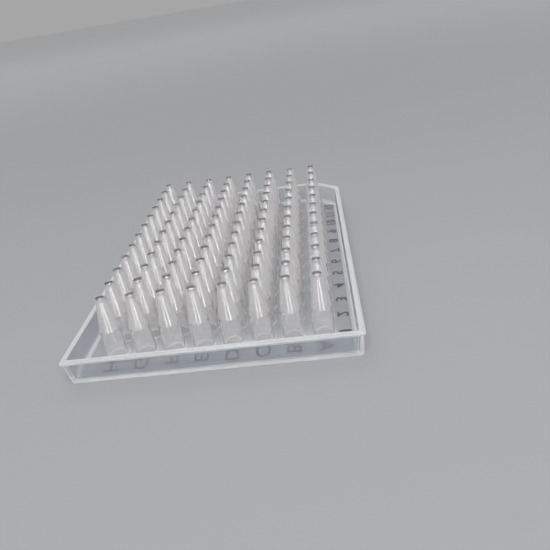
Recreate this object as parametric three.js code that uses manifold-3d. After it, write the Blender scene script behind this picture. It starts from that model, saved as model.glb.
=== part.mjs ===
// A semi-skirted 96-well PCR plate with 0.2 ml wells, moulded in one shot from natural polypropylene.
// It lies on its sealing face, the open side of its wells, so the closed ends of the wells point up.
// Millimetres. Z is up from the sealing face, X runs across the lettered rows (row A at +X) and Y along the
// numbered columns (column 1 at -Y). The origin is on the sealing face, under the middle of the well grid.

import * as THREE from 'three';
import { mergeVertices } from 'three/addons/utils/BufferGeometryUtils.js';
import { ConvexGeometry } from 'three/addons/geometries/ConvexGeometry.js';
import Module from 'manifold-3d';

// ---- the well grid ----
const rows = 8;
const columns = 12;
const pitch = 9;

// ---- the deck and the skirt round it ----
const deckThickness = 1.1;
const sideMargin = 10.45; // from the axes of rows A and H to the deck's long edges
const endMargin = 12.2; // from the axes of columns 1 and 12 to the deck's short edges
const deckCornerRadius = 1.2;
const cornerDivisions = 1; // three.js makes two facets of each division of an arc
const cutCornerLeg = 9; // the corner at well A12 is cut off, so the plate goes in one way round
const skirtHeight = 8.55; // from the sealing face to the skirt's free edge
const skirtWall = 1.3;
const sideLean = 0.5; // how far the long walls lean out over the skirt's height
const endLean = 1.5; // the same for the short walls

// ---- the lip and the rim along the skirt's free edge ----
const lipWidth = 0.4;
const lipThickness = 0.6;
const lipSetback = 0.25; // the lip's face lies this far below the skirt's free edge
const lipChamfer = 0.4; // height of the sloping run-out under the lip
const rimInset = 0.32; // above the lip, the skirt's outer face steps in by this much

// ---- one well: a short straight body under a long cone ----
const wellHeight = 20.6; // from the sealing face to the closed tip
const mouthRadius = 2.8;
const bodyHeight = 9.7; // from the sealing face to the shoulder
const bodyWall = 0.55;
const bodyDraft = 0.2; // how much the bore's radius narrows from the mouth to the shoulder
const shoulderHeight = 0.6;
const coneWall = 0.35;
const tipRadius = 1.36; // outside, at the flat closed end
const tipFloor = 0.8; // thickness of the closed end
const wellSides = 8;

const overrun = 0.5; // how far a cutting shape runs past the face that it cuts

const wasm = await Module();
wasm.setup();

// A closed three.js geometry as a solid that can be joined and cut.
function solid(geometry) {
  geometry.deleteAttribute('normal');
  geometry.deleteAttribute('uv');
  const merged = mergeVertices(geometry);
  const corners = merged.getIndex().array;
  const triangles = [];
  for (let i = 0; i < corners.length; i += 3) {
    const [a, b, c] = corners.slice(i, i + 3);
    if (a !== b && b !== c && c !== a) triangles.push(a, b, c);
  }
  const mesh = new wasm.Mesh({
    numProp: 3,
    vertProperties: new Float32Array(merged.getAttribute('position').array),
    triVerts: new Uint32Array(triangles),
  });
  return new wasm.Manifold(mesh);
}

// A solid's surface as a three.js geometry.
function surface(body) {
  const mesh = body.getMesh();
  const geometry = new THREE.BufferGeometry();
  geometry.setAttribute('position', new THREE.BufferAttribute(mesh.vertProperties, 3));
  geometry.setIndex(new THREE.BufferAttribute(mesh.triVerts, 1));
  geometry.computeVertexNormals();
  return geometry;
}

// The deck's outline, moved out by outX on the long sides and outY on the short ones, at a height.
function planOutline(outX, outY, height) {
  const halfWidth = ((rows - 1) * pitch) / 2 + sideMargin + outX;
  const halfLength = ((columns - 1) * pitch) / 2 + endMargin + outY;
  const out = (outX + outY) / 2;
  const radius = Math.max(deckCornerRadius + out, deckCornerRadius / 2);
  const leg = cutCornerLeg + out * (2 - Math.SQRT2);
  const path = new THREE.Path();
  path.moveTo(halfWidth, halfLength - leg);
  path.lineTo(halfWidth - leg, halfLength);
  path.absarc(radius - halfWidth, halfLength - radius, radius, Math.PI / 2, Math.PI, false);
  path.absarc(radius - halfWidth, radius - halfLength, radius, Math.PI, 1.5 * Math.PI, false);
  path.absarc(halfWidth - radius, radius - halfLength, radius, 1.5 * Math.PI, 2 * Math.PI, false);
  return path.getPoints(cornerDivisions).map((point) => new THREE.Vector3(point.x, point.y, height));
}

// The outline of the skirt's outer face at a height, moved out by a distance all round.
function skirtOutline(height, out = 0) {
  const share = height / skirtHeight;
  return planOutline(sideLean * share + out, endLean * share + out, height);
}

// A solid with straight drafted sides that spans its outlines.
function drafted(...outlines) {
  return solid(new ConvexGeometry(outlines.flat()));
}

// The deck with its leaning skirt, the lip and the rim, as a tray that is open on the wells' side.
function tray() {
  const lipTop = skirtHeight - lipSetback;
  const lipBottom = lipTop - lipThickness;
  const block = drafted(skirtOutline(0), skirtOutline(lipTop));
  const rim = drafted(skirtOutline(lipBottom, -rimInset), skirtOutline(skirtHeight, -rimInset));
  const lip = drafted(
    skirtOutline(lipBottom - lipChamfer),
    skirtOutline(lipBottom, lipWidth),
    skirtOutline(lipTop, lipWidth),
  );
  const hollow = drafted(
    skirtOutline(deckThickness, -skirtWall),
    skirtOutline(skirtHeight + overrun, -skirtWall),
  );
  return block.add(rim).add(lip).subtract(hollow);
}

// A round form about a well's axis, from its section given as [radius, height] pairs going up.
function revolved(section, x, y) {
  const points = section.map(([radius, height]) => new THREE.Vector2(radius, height));
  const geometry = new THREE.LatheGeometry(points, wellSides, Math.PI / wellSides);
  geometry.rotateX(Math.PI / 2);
  geometry.translate(x, y, 0);
  return solid(geometry);
}

const shoulderBore = mouthRadius - bodyDraft;

// The outside of a well, from inside the deck up to its closed tip.
function wellOutside(x, y) {
  const section = [
    [0, deckThickness / 2],
    [mouthRadius + bodyWall, deckThickness / 2],
    [shoulderBore + bodyWall, bodyHeight],
    [shoulderBore + coneWall, bodyHeight + shoulderHeight],
    [tipRadius, wellHeight],
    [0, wellHeight],
  ];
  return revolved(section, x, y);
}

// The bore of a well, from below the sealing face up to the inside of the tip.
function wellBore(x, y) {
  const mouthSlope = bodyDraft / bodyHeight;
  const section = [
    [0, -overrun],
    [mouthRadius + overrun * mouthSlope, -overrun],
    [shoulderBore, bodyHeight + shoulderHeight / 2],
    [tipRadius - coneWall, wellHeight - tipFloor],
    [0, wellHeight - tipFloor],
  ];
  return revolved(section, x, y);
}

// The places of the wells' axes.
function wellPlaces() {
  const places = [];
  for (let row = 0; row < rows; row += 1) {
    for (let column = 0; column < columns; column += 1) {
      places.push([(row - (rows - 1) / 2) * pitch, (column - (columns - 1) / 2) * pitch]);
    }
  }
  return places;
}

function plate() {
  let body = tray();
  for (const [x, y] of wellPlaces()) body = body.add(wellOutside(x, y));
  for (const [x, y] of wellPlaces()) body = body.subtract(wellBore(x, y));
  const polypropylene = new THREE.MeshStandardMaterial({
    color: 0xc9ccd1,
    roughness: 0.3,
    metalness: 0,
    transparent: true,
    opacity: 0.6,
  });
  const mesh = new THREE.Mesh(surface(body), polypropylene);
  mesh.name = 'plate';
  return mesh;
}

const pcrPlate = new THREE.Group();
pcrPlate.add(plate());

export default pcrPlate;
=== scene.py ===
import math

import bmesh
import bpy
from mathutils import Matrix, Vector


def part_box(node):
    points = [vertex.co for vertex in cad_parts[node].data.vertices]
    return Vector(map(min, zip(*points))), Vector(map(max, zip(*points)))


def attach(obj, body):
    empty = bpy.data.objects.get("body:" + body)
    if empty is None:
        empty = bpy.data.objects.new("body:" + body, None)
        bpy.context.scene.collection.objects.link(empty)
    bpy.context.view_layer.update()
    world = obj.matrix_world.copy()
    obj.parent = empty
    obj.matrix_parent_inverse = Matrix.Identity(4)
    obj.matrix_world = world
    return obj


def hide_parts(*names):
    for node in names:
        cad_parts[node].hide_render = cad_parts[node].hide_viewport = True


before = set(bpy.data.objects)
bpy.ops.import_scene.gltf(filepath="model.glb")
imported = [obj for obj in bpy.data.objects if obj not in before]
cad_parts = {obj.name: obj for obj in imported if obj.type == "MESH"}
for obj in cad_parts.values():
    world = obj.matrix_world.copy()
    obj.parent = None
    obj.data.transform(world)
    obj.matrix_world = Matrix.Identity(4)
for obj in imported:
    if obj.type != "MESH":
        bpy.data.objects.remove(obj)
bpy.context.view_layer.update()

# ---- The plate -------------------------------------------------------------------------------------
# One moulding of natural polypropylene: a thin deck with 96 tapered wells, and a skirt round the deck with
# a lip along its free edge. It lies on its sealing face, so the closed tips of the wells point up.

MM = 0.001  # the plate and its print are drawn in millimetres, and brought to metres when they are finished

plate_low, plate_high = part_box("plate")
lip_half_width = plate_high.x / MM
lip_half_length = plate_high.y / MM
well_height = plate_high.z / MM

row_count = 8
column_count = 12
pitch = 9.0
well_segments = 24
first_well = Vector((-(row_count - 1) * pitch / 2, -(column_count - 1) * pitch / 2, 0))

deck_top = 1.1
deck_recess = 0.2  # the deck's underside lies this far above the rims that seal
skirt_height = 8.55
skirt_wall = 1.3
side_lean = 0.5  # how far the long walls lean out over the skirt's height
end_lean = 1.5
lip_width = 0.4
lip_top = 8.3
corner_radius = 0.8
corner_steps = 5
cut_corner_leg = 9.0

tip_recess = well_height - 0.95  # the gate sits in a recess in the closed end

# Corners of a section are (across, height, rounding, steps): the rounding is cut back this far along both
# sides of the corner, and curved in that many steps.
well_outside = [
    (4.0, deck_top, 0, 0),
    (3.4, deck_top, 0.35, 3),
    (3.18, 9.55, 0.2, 2),
    (2.9, 10.3, 0.3, 2),
    (1.37, well_height - 0.02, 0.08, 1),
    (1.28, well_height - 0.02, 0.04, 1),
    (1.22, tip_recess, 0.06, 1),
    (0.3, tip_recess - 0.02, 0, 0),
    (0.24, tip_recess + 0.1, 0, 0),
    (0.0, tip_recess + 0.12, 0, 0),
]
well_inside = [
    (0.0, 19.2, 0, 0),
    (0.85, 19.15, 0.4, 3),
    (1.12, 18.6, 0.2, 1),
    (2.55, 10.35, 0.2, 1),
    (2.63, 9.75, 0.2, 1),
    (2.765, 0.9, 0, 0),
    (2.78, 0.25, 0, 0),
    (2.92, 0.0, 0, 0),
    (3.3, 0.0, 0.08, 1),
    (3.42, deck_recess, 0, 0),
]
pin_mark = [
    (1.22, deck_top, 0, 0),
    (1.13, deck_top + 0.07, 0, 0),
    (1.04, deck_top - 0.1, 0, 0),
    (0.0, deck_top - 0.1, 0, 0),
]
skirt_section = [
    (-2.3, deck_recess, 0, 0),
    (-2.0, 0.0, 0.05, 1),
    (0.0, 0.0, 0.25, 3),
    (0.0, 1.6, 0, 0),
    (0.0, 7.3, 0, 0),
    (lip_width, 7.7, 0.15, 2),
    (lip_width, lip_top, 0.15, 2),
    (-0.32, lip_top, 0.06, 1),
    (-0.32, skirt_height, 0.12, 2),
    (-skirt_wall, skirt_height, 0.15, 2),
    (-skirt_wall, deck_top, 0.5, 3),
    (-skirt_wall - 0.6, deck_top, 0, 0),
]


def rounded(corners):
    """The points of a section, with its corners curved."""
    points = []
    for index, (across, height, rounding, steps) in enumerate(corners):
        corner = Vector((across, height))
        if not rounding:
            points.append(corner)
            continue
        before = corner + (Vector(corners[index - 1][:2]) - corner).normalized() * rounding
        after = corner + (Vector(corners[index + 1][:2]) - corner).normalized() * rounding
        for step in range(steps + 1):
            along = step / steps
            points.append(before.lerp(corner, along).lerp(corner.lerp(after, along), along))
    return points


def turned(corners, segments):
    """A round wall about the Z axis, with that section."""
    part = bmesh.new()
    points = [part.verts.new((point.x, 0, point.y)) for point in rounded(corners)]
    lines = [part.edges.new(pair) for pair in zip(points, points[1:])]
    bmesh.ops.spin(part, geom=points + lines, cent=(0, 0, 0), axis=(0, 0, 1),
                   angle=math.tau, steps=segments, use_merge=True)
    bmesh.ops.remove_doubles(part, verts=part.verts, dist=1e-4)
    return part


def repeated(part, count, step):
    """The same part again and again along a line."""
    bmesh.ops.spin(part, geom=part.verts[:] + part.edges[:] + part.faces[:], cent=(0, 0, 0),
                   axis=(0, 0, 1), angle=0, dvec=step, steps=count - 1, use_duplicate=True)


def add_field(whole, part, first, counts):
    """Sets a part out on the wells' pitch and adds it to the whole."""
    bmesh.ops.translate(part, verts=part.verts, vec=first)
    repeated(part, counts[0], (pitch, 0, 0))
    repeated(part, counts[1], (0, pitch, 0))
    loose = bpy.data.meshes.new("field")
    part.to_mesh(loose)
    part.free()
    whole.from_mesh(loose)
    bpy.data.meshes.remove(loose)


def skirt_place(out, height):
    """Half the skirt's width and length at a height, moved out from its outer face."""
    share = height / skirt_height
    width = lip_half_width - lip_width - side_lean * (1 - share) + out
    length = lip_half_length - lip_width - end_lean * (1 - share) + out
    return Vector((width, length, height))


# The skirt starts as a line round its foot, with the corner at well A12 cut off, and is drawn up the section.
skirt = bmesh.new()
section = rounded(skirt_section)
reach = skirt_place(*section[0])
leg = cut_corner_leg
corners = [(reach.x, reach.y - leg), (reach.x - leg, reach.y), (-reach.x, reach.y), (-reach.x, -reach.y),
           (reach.x, -reach.y)]
corner_points = [skirt.verts.new((x, y, reach.z)) for x, y in corners]
for pair in zip(corner_points, corner_points[1:] + corner_points[:1]):
    skirt.edges.new(pair)
bmesh.ops.bevel(skirt, geom=corner_points, offset=corner_radius, offset_type="OFFSET", affect="VERTICES",
                segments=corner_steps, profile=0.5, material=-1)
edge_line = skirt.edges[:]
for point in section[1:]:
    drawn = bmesh.ops.extrude_edge_only(skirt, edges=edge_line)["geom"]
    moved = [item for item in drawn if isinstance(item, bmesh.types.BMVert)]
    edge_line = [item for item in drawn if isinstance(item, bmesh.types.BMEdge) and item.is_boundary]
    last, reach = reach, skirt_place(*point)
    bmesh.ops.scale(skirt, vec=(reach.x / last.x, reach.y / last.y, 1), verts=moved)
    bmesh.ops.translate(skirt, vec=(0, 0, reach.z - last.z), verts=moved)

plate_mesh = bpy.data.meshes.new("moulded_plate")
skirt.to_mesh(plate_mesh)
skirt.free()
whole = bmesh.new()
whole.from_mesh(plate_mesh)
well = turned(well_outside, well_segments)
bore = turned(well_inside, well_segments)
mark = turned(pin_mark, 16)
add_field(whole, well, first_well, (row_count, column_count))
add_field(whole, bore, first_well, (row_count, column_count))
add_field(whole, mark, first_well + Vector((pitch / 2, pitch / 2, 0)), (row_count - 1, column_count - 1))
for level in (deck_top, deck_recess):
    rims = [edge for edge in whole.edges if edge.is_boundary
            and all(abs(vert.co.z - level) < 1e-3 for vert in edge.verts)]
    bmesh.ops.triangle_fill(whole, use_beauty=True, use_dissolve=False, edges=rims)
bmesh.ops.remove_doubles(whole, verts=whole.verts, dist=1e-4)
bmesh.ops.recalc_face_normals(whole, faces=whole.faces)
bmesh.ops.scale(whole, vec=(MM, MM, MM), verts=whole.verts)
whole.to_mesh(plate_mesh)
whole.free()
plate_mesh.shade_smooth()
plate_mesh.set_sharp_from_angle(angle=math.radians(32))
# The deck's two faces stay flat up to the roundings that meet them.
for edge in plate_mesh.edges:
    ends = [plate_mesh.vertices[index].co.z / MM for index in edge.vertices]
    edge.use_edge_sharp = edge.use_edge_sharp or any(
        all(abs(end - level) < 1e-3 for end in ends) for level in (deck_top, deck_recess))
plate = bpy.data.objects.new("moulded_plate", plate_mesh)
bpy.context.scene.collection.objects.link(plate)

# Natural polypropylene flows into the mould in faint clouds, and takes the fine grain of the steel.
marks = bpy.data.node_groups.new("moulding_marks", "ShaderNodeTree")
for label, value in (("Tint", (1, 1, 1, 1)), ("Cloud Depth", 0.1), ("Gloss", 0.1), ("Gloss Change", 0.05),
                     ("Grain Scale", 2000.0), ("Grain Height", 0.1)):
    kind = "NodeSocketColor" if label == "Tint" else "NodeSocketFloat"
    socket = marks.interface.new_socket(label, in_out="INPUT", socket_type=kind)
    socket.default_value = value
marks.interface.new_socket("Color", in_out="OUTPUT", socket_type="NodeSocketColor")
marks.interface.new_socket("Roughness", in_out="OUTPUT", socket_type="NodeSocketFloat")
marks.interface.new_socket("Height", in_out="OUTPUT", socket_type="NodeSocketFloat")


def add_node(tree, kind, settings=(), values=(), links=()):
    """A node with its settings, its fixed inputs and its links."""
    node = tree.nodes.new("ShaderNode" + kind)
    for label, value in settings:
        setattr(node, label, value)
    for label, value in values:
        node.inputs[label].default_value = value
    for label, source in links:
        tree.links.new(source, node.inputs[label])
    return node


given = marks.nodes.new("NodeGroupInput")
result = marks.nodes.new("NodeGroupOutput")
place = add_node(marks, "TexCoord").outputs["Object"]
cloud = add_node(marks, "TexNoise", values=[("Scale", 90.0), ("Detail", 3.0), ("Distortion", 0.8)],
                 links=[("Vector", place)])
speckle = add_node(marks, "TexNoise", values=[("Scale", 700.0), ("Detail", 2.0)], links=[("Vector", place)])
grain = add_node(marks, "TexNoise", values=[("Detail", 3.0)],
                 links=[("Vector", place), ("Scale", given.outputs["Grain Scale"])])
shade = add_node(marks, "Math", [("operation", "MULTIPLY_ADD")], [(2, 1.0)],
                 [(0, cloud.outputs["Fac"]), (1, add_node(
                     marks, "Math", [("operation", "MULTIPLY")], [(1, -1.0)],
                     [(0, given.outputs["Cloud Depth"])]).outputs[0])])
tint = add_node(marks, "VectorMath", [("operation", "SCALE")], (),
                [(0, given.outputs["Tint"]), ("Scale", shade.outputs[0])])
uneven = add_node(marks, "Math", [("operation", "SUBTRACT")], [(1, 0.5)], [(0, speckle.outputs["Fac"])])
rough = add_node(marks, "Math", [("operation", "MULTIPLY_ADD")], (),
                 [(0, uneven.outputs[0]), (1, given.outputs["Gloss Change"]), (2, given.outputs["Gloss"])])
height = add_node(marks, "Math", [("operation", "MULTIPLY")], (),
                  [(0, grain.outputs["Fac"]), (1, given.outputs["Grain Height"])])
marks.links.new(tint.outputs[0], result.inputs["Color"])
marks.links.new(rough.outputs[0], result.inputs["Roughness"])
marks.links.new(height.outputs[0], result.inputs["Height"])


def polypropylene(name, finish):
    """Translucent polypropylene: a clear skin over a milky body, and the fine turning marks of the mould."""
    material = bpy.data.materials.new(name)
    material.use_nodes = True
    tree = material.node_tree
    skin = tree.nodes["Principled BSDF"]
    skin.inputs["IOR"].default_value = 1.49
    skin.inputs["Transmission Weight"].default_value = finish["clear"]
    detail = add_node(tree, "Group", [("node_tree", marks)], finish["marks"])
    bump = add_node(tree, "Bump", (), [("Strength", finish["bump"]), ("Distance", 0.00005)],
                    [("Height", detail.outputs["Height"])])
    tree.links.new(detail.outputs["Color"], skin.inputs["Base Color"])
    tree.links.new(detail.outputs["Roughness"], skin.inputs["Roughness"])
    tree.links.new(bump.outputs["Normal"], skin.inputs["Normal"])
    glow = add_node(tree, "BsdfTranslucent", (), [("Color", finish["milk"])])
    chalk = add_node(tree, "BsdfDiffuse", (), [("Color", finish["milk"])])
    milk = add_node(tree, "MixShader", (), [(0, 0.5)], [(1, glow.outputs[0]), (2, chalk.outputs[0])])

    # The path through the wall is longer at a grazing angle, so there the plastic looks milkier.
    facing = add_node(tree, "LayerWeight", (), [("Blend", 0.5)])
    steep = add_node(tree, "Math", [("operation", "POWER")], [(1, finish["edge"])],
                     [(0, facing.outputs["Facing"])])
    share = add_node(tree, "MapRange", (), [("To Min", finish["haze"][0]), ("To Max", finish["haze"][1])],
                     [("Value", steep.outputs[0])])

    # The melt runs up each well, so its haze lies in faint lengthwise lines.
    spot = add_node(tree, "TexCoord").outputs["Object"]
    upright = add_node(tree, "VectorMath", [("operation", "MULTIPLY")], [(1, (1, 1, 0.05))], [(0, spot)])
    lines = add_node(tree, "TexNoise", (), [("Scale", 1300.0), ("Detail", 2.0)],
                     [("Vector", upright.outputs[0])]).outputs["Fac"]
    depth = finish["lines"]
    lined = add_node(tree, "MapRange", (), [("From Min", 0.3), ("From Max", 0.7), ("To Min", 1 - depth),
                                            ("To Max", 1 + depth)], [("Value", lines)])
    share = add_node(tree, "Math", [("operation", "MULTIPLY")], (),
                     [(0, share.outputs[0]), (1, lined.outputs[0])])

    # Between the wells the deck is made milkier.
    if "web" in finish:
        middle = add_node(tree, "SeparateXYZ", (), (), [(0, spot)])
        inner = []
        for axis, limit in (("X", 33.5), ("Y", 51.5)):
            side = add_node(tree, "Math", [("operation", "ABSOLUTE")], (), [(0, middle.outputs[axis])])
            inner.append(add_node(tree, "MapRange", [("interpolation_type", "SMOOTHSTEP")],
                                  [("From Min", limit * MM), ("From Max", (limit + 2.5) * MM),
                                   ("To Min", 1.0), ("To Max", 0.0)], [("Value", side.outputs[0])]))
        between = add_node(tree, "Math", [("operation", "MULTIPLY")], (),
                           [(0, inner[0].outputs[0]), (1, inner[1].outputs[0])])
        share = add_node(tree, "Math", [("operation", "MULTIPLY_ADD")], [(1, finish["web"])],
                         [(0, between.outputs[0]), (2, share.outputs[0])])
    body = add_node(tree, "MixShader", (), (),
                    [(0, share.outputs[0]), (1, skin.outputs[0]), (2, milk.outputs[0])])

    # The mould of a cone is polished round and round, so each lamp draws a bright line down the cone.
    amount, roughness, stretch = finish["streak"]
    broken = add_node(tree, "MapRange", (), [("From Min", 0.35), ("From Max", 0.65), ("To Min", 0.85 * amount),
                                             ("To Max", 1.15 * amount)], [("Value", lines)])
    around = add_node(tree, "VectorMath", [("operation", "CROSS_PRODUCT")], [(1, (0, 0, 1))],
                      [(0, add_node(tree, "NewGeometry").outputs["Normal"])])
    streak = add_node(tree, "BsdfAnisotropic", (), [("Roughness", roughness), ("Anisotropy", stretch)],
                      [("Tangent", around.outputs[0])])
    lit = add_node(tree, "MixShader", (), (),
                   [(0, broken.outputs[0]), (1, body.outputs[0]), (2, streak.outputs[0])])

    # Thin plastic lets most of the light through, so its shadows are weak.
    passing = add_node(tree, "BsdfTransparent", (), [("Color", finish["shadow"])])
    path = add_node(tree, "LightPath")
    finished = add_node(tree, "MixShader", (), (),
                        [(0, path.outputs["Is Shadow Ray"]), (1, lit.outputs[0]), (2, passing.outputs[0])])
    tree.links.new(finished.outputs[0], tree.nodes["Material Output"].inputs["Surface"])
    return material


# The zones of the moulding differ in thickness and in the polish of the mould, and the finishes of the deck,
# the skirt walls and the recesses in the closed ends are also darkened: painted shade. In each finish, haze is
# how much of the milk shows face on and at a grazing angle, and edge is how late it rises between the two.
# Streak is the share, the roughness and the stretch of the lines of gloss, and shadow is the light that a
# shadow keeps.
finishes = {
    "cone": {
        "lines": 0.12,
        "clear": 0.98, "bump": 0.03, "milk": (0.985, 0.96, 0.965, 1), "edge": 2.5, "haze": (0.33, 0.6),
        "streak": (0.31, 0.26, 0.82), "shadow": (0.74, 0.74, 0.74, 1),
        "marks": [("Tint", (0.985, 0.985, 0.99, 1)), ("Cloud Depth", 0.03), ("Gloss", 0.05),
                  ("Gloss Change", 0.05), ("Grain Scale", 900.0), ("Grain Height", 1.0)],
    },
    "body": {
        "lines": 0.1,
        "clear": 0.98, "bump": 0.03, "milk": (0.93, 0.91, 0.915, 1), "edge": 2.5, "haze": (0.09, 0.4),
        "streak": (0.0, 0.3, 0.0), "shadow": (0.72, 0.72, 0.72, 1),
        "marks": [("Tint", (0.955, 0.948, 0.95, 1)), ("Cloud Depth", 0.03), ("Gloss", 0.1),
                  ("Gloss Change", 0.05), ("Grain Scale", 900.0), ("Grain Height", 1.0)],
    },
    # The deck's tint is darkened below the plastic's own tone: painted shade.
    "deck": {
        "lines": 0.0, "web": 0.2,
        "clear": 0.98, "bump": 0.03, "milk": (0.85, 0.87, 0.9, 1), "edge": 3.0, "haze": (0.025, 0.1),
        "streak": (0.0, 0.3, 0.0), "shadow": (0.5, 0.5, 0.5, 1),
        "marks": [("Tint", (0.90, 0.91, 0.93, 1)), ("Cloud Depth", 0.05), ("Gloss", 0.13),
                  ("Gloss Change", 0.05), ("Grain Scale", 900.0), ("Grain Height", 1.0)],
    },
    # The skirt walls' milk is a dull bluish grey, far darker than in the other finishes: painted shade.
    "satin": {
        "lines": 0.0,
        "clear": 0.95, "bump": 0.06, "milk": (0.48, 0.515, 0.57, 1), "edge": 3.0, "haze": (0.13, 0.3),
        "streak": (0.0, 0.45, 0.0), "shadow": (0.65, 0.65, 0.65, 1),
        "marks": [("Tint", (0.85, 0.875, 0.91, 1)), ("Cloud Depth", 0.1), ("Gloss", 0.05),
                  ("Gloss Change", 0.1), ("Grain Scale", 3000.0), ("Grain Height", 1.0)],
    },
    "edge": {
        "lines": 0.0,
        "clear": 0.95, "bump": 0.05, "milk": (0.96, 0.965, 0.98, 1), "edge": 3.0, "haze": (0.45, 0.8),
        "streak": (0.03, 0.35, 0.0), "shadow": (0.6, 0.6, 0.6, 1),
        "marks": [("Tint", (0.97, 0.975, 0.98, 1)), ("Cloud Depth", 0.1), ("Gloss", 0.2),
                  ("Gloss Change", 0.1), ("Grain Scale", 2000.0), ("Grain Height", 1.0)],
    },
    # The finish of the recesses in the closed ends is tinted almost black: painted shade on their side walls.
    "gate_painted_shade": {
        "lines": 0.0,
        "clear": 1.0, "bump": 0.0, "milk": (0.5, 0.5, 0.52, 1), "edge": 3.0, "haze": (0.02, 0.05),
        "streak": (0.0, 0.3, 0.0), "shadow": (0.6, 0.6, 0.6, 1),
        "marks": [("Tint", (0.18, 0.185, 0.20, 1)), ("Cloud Depth", 0.1), ("Gloss", 0.3),
                  ("Gloss Change", 0.05), ("Grain Scale", 2000.0), ("Grain Height", 1.0)],
    },
}
for name, finish in finishes.items():
    plate_mesh.materials.append(polypropylene(name + "_polypropylene", finish))

shoulder_line = 9.9
mouth_line = 0.8
gate_shade_ring = (1.1, 1.27)  # the side wall of the recess in a closed end lies between these radii
side_foot = 2.35  # from the lip's edge in to the foot of a long wall, seen from above
end_foot = 3.35  # the same for a short wall
corner_foot = 3.4  # the same across the cut corner


def finish_of(face):
    """The finish of a face, from where it lies on the moulding."""
    across, along, up = face.center / MM
    if len(face.vertices) == 3 and min(abs(up - deck_top), abs(up - deck_recess)) < 1e-3:
        return "deck"
    if max(abs(across) - (lip_half_width - side_foot), abs(along) - (lip_half_length - end_foot),
           across + along - (lip_half_width + lip_half_length - cut_corner_leg - corner_foot)) > 0:
        turn_off = min(abs(face.normal.x), abs(face.normal.y))
        outside = across * face.normal.x + along * face.normal.y > 0
        across_cut = turn_off > 0.69 and across > 0 and along > 0
        corner = outside and turn_off > 0.15 and not across_cut
        return "satin" if deck_top + 0.6 < up < lip_top - 0.7 and not corner else "edge"
    from_axis = math.hypot((across - first_well.x + pitch / 2) % pitch - pitch / 2,
                           (along - first_well.y + pitch / 2) % pitch - pitch / 2)
    # The side wall of the recess in each closed end gets the almost black finish: painted shade.
    if up > tip_recess + 0.05 and gate_shade_ring[0] < from_axis < gate_shade_ring[1]:
        return "gate_painted_shade"
    if up < mouth_line and from_axis < 3.4:
        return "edge"
    if up > shoulder_line:
        return "cone"
    return "body" if up > deck_top + 0.05 or abs(face.normal.z) < 0.7 else "deck"


slots = list(finishes)
for face in plate_mesh.polygons:
    face.material_index = slots.index(finish_of(face))

# The many thin walls one behind another need long paths of light.
rays = bpy.context.scene.cycles
rays.max_bounces = rays.transmission_bounces = 32
rays.diffuse_bounces = rays.glossy_bounces = 12
rays.transparent_max_bounces = 64

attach(plate, "root")
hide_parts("plate")

# ---- The printed marks -----------------------------------------------------------------------------
# Row letters A to H and column numbers 1 to 12, printed in black under the deck. They read from the sealing
# face, so from this side they are seen through the deck and mirrored.

ink_depth = 0.015
ink_place = deck_recess + 0.005  # the ink is sunk into the skin of the deck's underside

letter_line = -56.8  # along the plate, in front of column 1
number_line = 37.4  # across the plate, beside row A

ink = bpy.data.materials.new("black_ink")
ink.use_nodes = True
ink_coat = add_node(ink.node_tree, "Group", [("node_tree", marks)],
                    [("Tint", (0.018, 0.018, 0.02, 1)), ("Cloud Depth", 0.3), ("Gloss", 0.5),
                     ("Gloss Change", 0.2), ("Grain Scale", 4000.0), ("Grain Height", 1.0)])
ink_shader = ink.node_tree.nodes["Principled BSDF"]
ink_bump = add_node(ink.node_tree, "Bump", (), [("Strength", 0.2), ("Distance", 0.00002)],
                    [("Height", ink_coat.outputs["Height"])])
ink.node_tree.links.new(ink_coat.outputs["Color"], ink_shader.inputs["Base Color"])
ink.node_tree.links.new(ink_coat.outputs["Roughness"], ink_shader.inputs["Roughness"])
ink.node_tree.links.new(ink_bump.outputs["Normal"], ink_shader.inputs["Normal"])

letters = [("ABCDEFGH"[row], -first_well.x - row * pitch, letter_line) for row in range(row_count)]
numbers = [(str(column + 1), number_line, first_well.y + column * pitch) for column in range(column_count)]
for name, labels, label_size, boldness, stretch in (
        ("row_letters", letters, 6.1, 0.03, 0.88), ("column_numbers", numbers, 5.0, 0.06, 1.3)):
    print_mesh = bpy.data.meshes.new(name)
    gathered = bmesh.new()
    for text, across, along in labels:
        font = bpy.data.curves.new("label", "FONT")
        font.body = text
        font.size = label_size
        font.extrude = ink_depth / 2
        font.offset = boldness
        font.fill_mode = "NONE"
        font.resolution_u = 4
        font.align_x = "CENTER"
        font.align_y = "CENTER"
        shape = bpy.data.objects.new("label", font)
        flat = bpy.data.meshes.new_from_object(shape)
        bpy.data.objects.remove(shape)
        # Read from below, a label's top is towards row A and its right side towards the last column.
        flat.transform(Matrix(((0, 1, 0, across), (stretch, 0, 0, along),
                               (0, 0, -1, ink_place + ink_depth / 2), (0, 0, 0, 1))))
        gathered.from_mesh(flat)
        bpy.data.meshes.remove(flat)
    bmesh.ops.remove_doubles(gathered, verts=gathered.verts, dist=1e-4)
    for level in (ink_place, ink_place + ink_depth):
        outline = [edge for edge in gathered.edges if all(abs(vert.co.z - level) < 1e-3 for vert in edge.verts)]
        bmesh.ops.triangle_fill(gathered, use_beauty=True, use_dissolve=False, edges=outline)
    bmesh.ops.recalc_face_normals(gathered, faces=gathered.faces)
    bmesh.ops.scale(gathered, vec=(MM, MM, MM), verts=gathered.verts)
    gathered.to_mesh(print_mesh)
    gathered.free()
    print_mesh.materials.append(ink)
    printed = bpy.data.objects.new(name, print_mesh)
    bpy.context.scene.collection.objects.link(printed)
    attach(printed, "root")

# ---- The studio ------------------------------------------------------------------------------------
# A wide sheet of pale paper under a plain grey sky, two narrow lamps in front, a broad one behind, and the
# camera. All of it is in metres.

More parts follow.
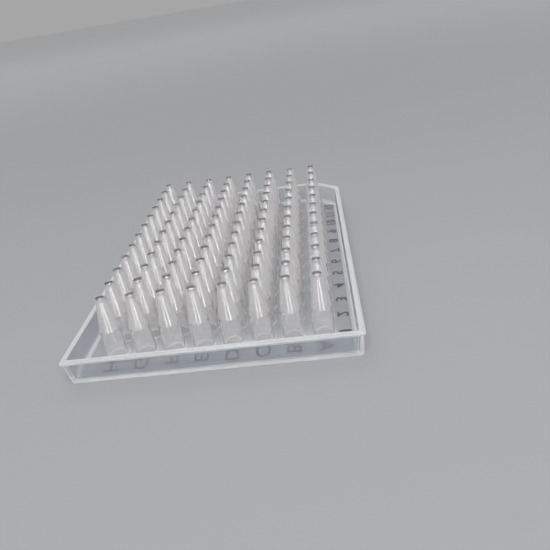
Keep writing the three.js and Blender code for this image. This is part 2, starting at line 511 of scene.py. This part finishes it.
floor_reach = 4.0
floor_gap = 0.00005  # the sealing face doesn't share its plane with the paper
floor_mesh = bpy.data.meshes.new("floor")
ground = bmesh.new()
bmesh.ops.create_circle(ground, cap_ends=True, radius=floor_reach, segments=64,
                        matrix=Matrix.Translation((0, 0, -floor_gap)))
ground.to_mesh(floor_mesh)
ground.free()
floor = bpy.data.objects.new("floor", floor_mesh)
bpy.context.scene.collection.objects.link(floor)
paper = bpy.data.materials.new("floor_paper")
paper.use_nodes = True
paper_shader = paper.node_tree.nodes["Principled BSDF"]
paper_shader.inputs["Roughness"].default_value = 1.0
paper_shader.inputs["Specular IOR Level"].default_value = 0.1
paper_tree = paper.node_tree
from_middle = add_node(paper_tree, "VectorMath", [("operation", "LENGTH")], (),
                       [(0, add_node(paper_tree, "TexCoord").outputs["Object"])])
paler = add_node(paper_tree, "MapRange", [("interpolation_type", "SMOOTHSTEP")],
                 [("From Min", 0.1), ("From Max", 1.4), ("To Min", 1.0), ("To Max", 1.75)],
                 [("Value", from_middle.outputs["Value"])])
paper_grey = add_node(paper_tree, "VectorMath", [("operation", "SCALE")], [(0, (0.31, 0.315, 0.325))],
                      [("Scale", paler.outputs[0])])
paper_tree.links.new(paper_grey.outputs[0], paper_shader.inputs["Base Color"])
floor_mesh.materials.append(paper)

world = bpy.data.worlds.new("studio")
world.use_nodes = True
sky = world.node_tree
height_up = add_node(sky, "SeparateXYZ", links=[("Vector", add_node(sky, "TexCoord").outputs["Generated"])])
rise = add_node(sky, "MapRange", [("interpolation_type", "SMOOTHSTEP")],
                [("From Min", 0.2), ("From Max", 0.8), ("To Min", 0.38), ("To Max", 0.7)],
                [("Value", height_up.outputs["Z"])])
grey = add_node(sky, "CombineColor", links=[("Red", rise.outputs[0]), ("Green", rise.outputs[0]),
                                            ("Blue", rise.outputs[0])])
sky.links.new(grey.outputs[0], sky.nodes["Background"].inputs["Color"])
sky.nodes["Background"].inputs["Strength"].default_value = 1.0
bpy.context.scene.world = world


def softbox(name, stand, size, power):
    """A lamp with a rectangular face that looks at the middle of the plate."""
    lamp = bpy.data.lights.new(name, "AREA")
    lamp.shape = "RECTANGLE"
    lamp.size, lamp.size_y = size
    lamp.energy = power
    holder = bpy.data.objects.new(name, lamp)
    holder.location = stand
    holder.rotation_euler = (-Vector(stand)).to_track_quat("-Z", "Y").to_euler()
    bpy.context.scene.collection.objects.link(holder)


softbox("key_softbox", (0.36, -0.56, 0.80), (0.08, 0.6), 4.6)
softbox("strip_softbox", (-0.13, -0.65, 0.80), (0.03, 0.6), 3.4)
softbox("back_softbox", (-0.3, 0.5, 1.0), (0.8, 0.5), 1.5)

camera_place = Vector((35.62, -187.73, 93.48)) * MM
camera_aim = Vector((15.21, -8.39, 0)) * MM
camera_roll = math.radians(-9.5)
lens = bpy.data.cameras.new("camera")
lens.lens = 36.81
lens.sensor_width = 36
lens.clip_start = 0.01
lens.clip_end = 20
camera = bpy.data.objects.new("camera", lens)
camera.location = camera_place
turn = (camera_aim - camera_place).to_track_quat("-Z", "Y").to_matrix() @ Matrix.Rotation(camera_roll, 3, "Z")
camera.rotation_euler = turn.to_euler()
bpy.context.scene.collection.objects.link(camera)
bpy.context.scene.camera = camera

bpy.context.scene.view_settings.view_transform = "Standard"
